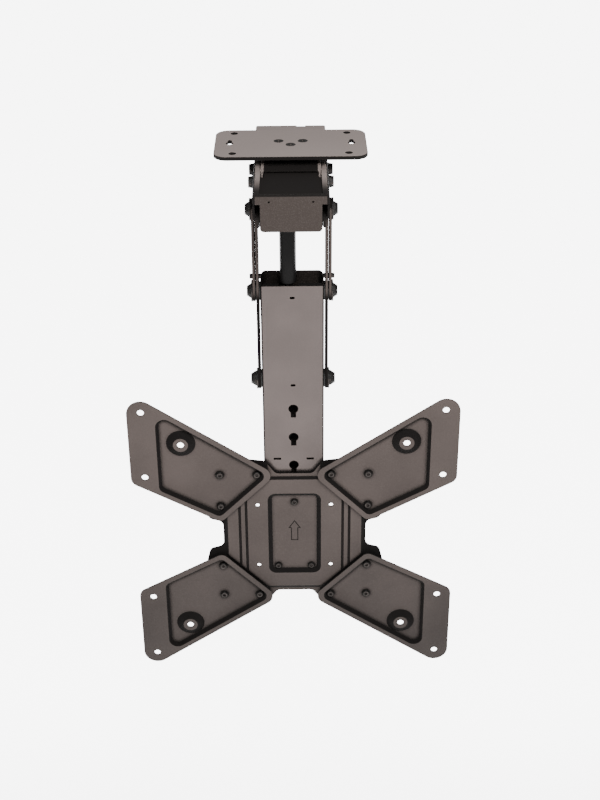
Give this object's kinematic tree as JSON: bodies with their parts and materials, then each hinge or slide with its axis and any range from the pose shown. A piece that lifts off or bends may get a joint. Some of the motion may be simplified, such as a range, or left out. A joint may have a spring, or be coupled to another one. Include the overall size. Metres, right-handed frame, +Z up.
{
  "type": "tv ceiling mount",
  "caption": "Fold-down television ceiling mount: swivelling plate and channel, hinged arm with gas strut, pressed screen plate with splayed wings.",
  "frame": {"origin": "centre of the ceiling plate's top face, which lies against the ceiling", "axes": "+Z up into the ceiling, -Y towards the viewer and the screen, +X to the right of the screen plate as seen"},
  "size_m": [0.438, 0.24, 0.7735],
  "materials": {
    "coat": "satin dark powder coat",
    "dark_steel": "black oxide steel",
    "nylon": "black nylon",
    "strut_paint": "gloss black paint",
    "rod_steel": "polished rod"
  },
  "bodies": {
    "ceiling": {"ceiling_plate": "coat", "swivel_hub": "dark_steel", "hub_screws": "dark_steel", "swivel_washer": "dark_steel", "swivel_locknut": "dark_steel"},
    "bracket": {"upper_glide": "nylon", "lower_glide": "nylon", "yoke": "coat", "channel": "coat", "rear_bridge": "coat", "front_plate": "coat", "pivot_bracket": "coat", "channel_liner": "dark_steel", "yoke_washers": "dark_steel", "yoke_spacers": "dark_steel", "yoke_bolts": "dark_steel", "yoke_nuts": "dark_steel", "upper_pivot_bolts": "dark_steel", "upper_pivot_glides": "nylon", "upper_pivot_discs": "dark_steel", "upper_cap_nuts": "dark_steel", "strut_upper_pin": "dark_steel"},
    "arm": {"long_bar_left": "coat", "long_bar_right": "coat", "short_bar_left": "coat", "short_bar_right": "coat", "middle_pivot_bolts": "dark_steel", "middle_pivot_glides": "nylon", "middle_pivot_discs": "dark_steel", "middle_cap_nuts": "dark_steel", "lower_pivot_bolts": "dark_steel", "lower_pivot_glides": "nylon", "lower_pivot_discs": "dark_steel", "lower_pivot_packers": "dark_steel", "lower_cap_nuts": "dark_steel", "bar_rivets": "dark_steel", "arm_channel": "coat", "arm_cover": "coat", "strut_lower_pin": "dark_steel", "backing_plate": "dark_steel", "centre_plate": "coat", "upper_left_wing": "coat", "upper_right_wing": "coat", "lower_left_wing": "coat", "lower_right_wing": "coat", "wing_screws": "dark_steel", "wing_nuts": "dark_steel", "panel_screws": "dark_steel"},
    "strut_tube": {"strut_cylinder": "strut_paint"},
    "strut_piston": {"strut_rod": "rod_steel"}
  },
  "joints": [
    {"name": "plate_swivel", "type": "hinge", "parent": "ceiling", "child": "bracket", "pos_m": [0, 0, -0.013], "axis": [0, 0, 1], "range_deg": [-90, 90]},
    {"name": "arm_fold", "type": "hinge", "parent": "bracket", "child": "arm", "pos_m": [0, 0, -0.084], "axis": [1, 0, 0], "range_deg": [0, 90]},
    {"name": "strut_swing", "type": "hinge", "parent": "bracket", "child": "strut_tube", "pos_m": [-0.005, 0, -0.095], "axis": [1, 0, 0], "range_deg": [0, 93]},
    {"name": "strut_stroke", "type": "slide", "parent": "strut_tube", "child": "strut_piston", "axis": [0, 0.004, -1], "range_m": [0, 0.0105]}
  ],
  "couplings": [
    {"joint": "strut_swing", "follows": "arm_fold", "ratio": 1.031},
    {"joint": "strut_stroke", "follows": "arm_fold", "m_per_rad": 0.00615}
  ]
}
